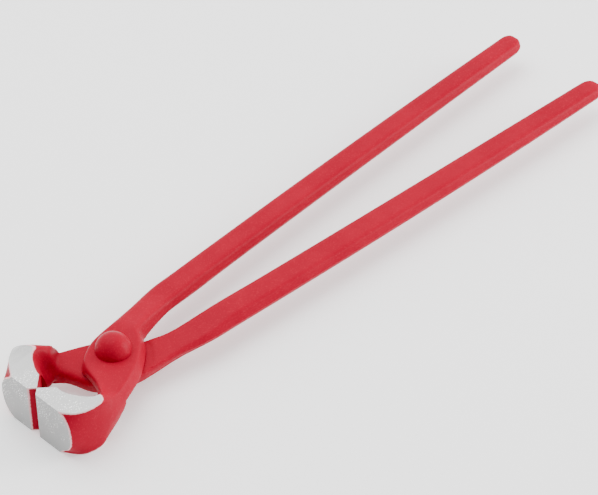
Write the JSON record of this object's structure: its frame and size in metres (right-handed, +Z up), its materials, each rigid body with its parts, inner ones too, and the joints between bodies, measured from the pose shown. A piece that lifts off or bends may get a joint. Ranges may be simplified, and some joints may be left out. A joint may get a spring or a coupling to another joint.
{
  "type": "end cutting nippers",
  "caption": "Forged end cutting nippers with long tapered handles, a domed rivet joint and ground jaws behind a vee notch.",
  "frame": {"origin": "centre of the bounding box's lower face, on the surface that the closed tool lies on", "axes": "+X along the tool from the jaws to the handle tips, +Y to the side of the upper lever's handle, +Z up along the rivet towards its domed head"},
  "size_m": [0.299, 0.0568, 0.0249],
  "materials": {
    "lever_paint": "gloss",
    "rivet_paint": "gloss"
  },
  "bodies": {
    "lower_lever": {"lower_lever": "lever_paint", "rivet": "rivet_paint"},
    "upper_lever": {"upper_lever": "lever_paint"}
  },
  "joints": [
    {"name": "jaw_hinge", "type": "hinge", "parent": "lower_lever", "child": "upper_lever", "pos_m": [-0.1098, -0.0013, 0.0112], "axis": [0, 0, 1], "range_deg": [0, 30]}
  ]
}
